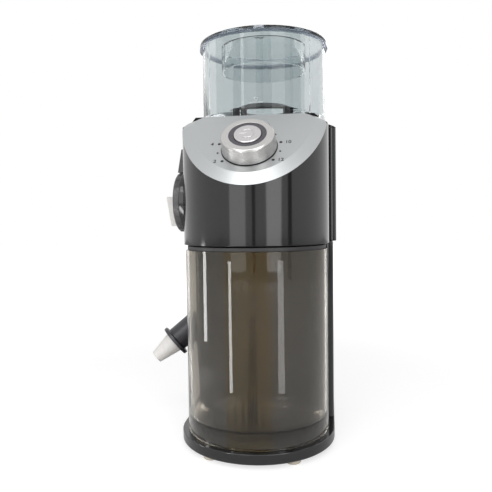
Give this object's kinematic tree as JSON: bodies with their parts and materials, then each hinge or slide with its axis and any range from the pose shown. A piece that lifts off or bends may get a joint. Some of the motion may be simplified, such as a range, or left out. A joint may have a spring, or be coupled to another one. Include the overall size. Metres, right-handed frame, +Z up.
{
  "type": "burr coffee grinder",
  "caption": "Upright electric burr coffee grinder with a clear bean hopper, a slanted panel with a cup knob and start button, a side grind dial and a pull-out smoky grounds bin.",
  "frame": {"origin": "centre of the box on the surface that the feet stand on", "axes": "+Z up, front towards -Y, +X to the right seen from the front"},
  "size_m": [0.1372, 0.16, 0.2837],
  "materials": {
    "black_gloss": "glossy black moulded plastic",
    "silver_paint": "satin silver paint on plastic",
    "satin_metal": "satin turned metal",
    "dark_ring": "dark glossy insert",
    "clear_plastic": "clear plastic with a slight grey-green tint",
    "smoky_plastic": "smoky see-through plastic",
    "inner_plastic": "matt black plastic",
    "charcoal": "satin charcoal plastic",
    "pale_grey": "warm pale grey plastic",
    "foot_rubber": "beige rubber",
    "nylon": "natural nylon",
    "steel": "ground steel",
    "bracket_metal": "cast alloy",
    "core_steel": "stacked core plates",
    "copper": "enamelled copper",
    "carbon": "carbon",
    "board": "circuit board"
  },
  "bodies": {
    "housing": {"base_plate": "black_gloss", "feet": "foot_rubber", "base_screws": "steel", "rear_column": "black_gloss", "front_shell": "black_gloss", "upper_housing": "black_gloss", "chamber_deck": "inner_plastic", "control_panel": "silver_paint", "top_cover": "black_gloss", "control_board": "board", "selector": "inner_plastic", "start_switch": "inner_plastic", "dial_plate": "black_gloss", "grinding_chamber": "inner_plastic", "chute": "inner_plastic", "motor_dampers": "foot_rubber", "lower_bracket": "bracket_metal", "upper_bracket": "bracket_metal", "lower_bearing": "steel", "upper_bearing": "steel", "motor_core": "core_steel", "field_windings": "copper", "brushes": "carbon", "bin_switch": "inner_plastic", "cord_gland": "charcoal", "strain_relief": "pale_grey"},
    "hopper": {"hopper": "clear_plastic", "hopper_guard": "inner_plastic"},
    "lid": {"hopper_lid": "clear_plastic"},
    "bin": {"grounds_bin": "smoky_plastic", "bin_lid": "inner_plastic"},
    "knob": {"cup_knob": "satin_metal", "knob_ring": "dark_ring"},
    "button": {"start_button": "satin_metal"},
    "dial": {"grind_dial": "charcoal", "dial_grip": "pale_grey", "dial_shaft": "steel", "adjusting_cam": "nylon"},
    "carrier": {"burr_carrier": "nylon", "upper_burr": "steel"},
    "rotor": {"motor_shaft": "steel", "armature": "core_steel", "commutator": "copper", "cooling_fan": "nylon", "burr_rotor": "nylon", "burr_nut": "steel", "lower_burr": "steel"}
  },
  "joints": [
    {"name": "bin_slide", "type": "slide", "parent": "housing", "child": "bin", "axis": [0, -1, 0], "range_m": [0, 0.13]},
    {"name": "hopper_lift", "type": "slide", "parent": "housing", "child": "hopper", "axis": [0, 0, 1], "range_m": [0, 0.06]},
    {"name": "lid_lift", "type": "slide", "parent": "hopper", "child": "lid", "axis": [0, 0, 1], "range_m": [0, 0.05]},
    {"name": "knob_turn", "type": "hinge", "parent": "housing", "child": "knob", "pos_m": [0.01438, -0.05757, 0.19602], "axis": [0, -0.7141, 0.7], "range_deg": [-128, 128]},
    {"name": "start_press", "type": "slide", "parent": "knob", "child": "button", "axis": [0, 0.7141, -0.7], "range_m": [0, 0.0015], "stiffness_N_per_m": 400},
    {"name": "dial_turn", "type": "hinge", "parent": "housing", "child": "dial", "pos_m": [-0.03662, -0.018, 0.164], "axis": [-1, 0, 0], "range_deg": [-135, 135]},
    {"name": "burr_lift", "type": "slide", "parent": "housing", "child": "carrier", "axis": [0, 0, 1], "range_m": [-0.0006, 0.0006]},
    {"name": "rotor_spin", "type": "hinge", "parent": "housing", "child": "rotor", "pos_m": [0.01438, 0.026, 0.1], "axis": [0, 0, 1], "continuous": true}
  ],
  "couplings": [
    {"joint": "dial_turn", "follows": "burr_lift", "rad_per_m": 3927}
  ]
}
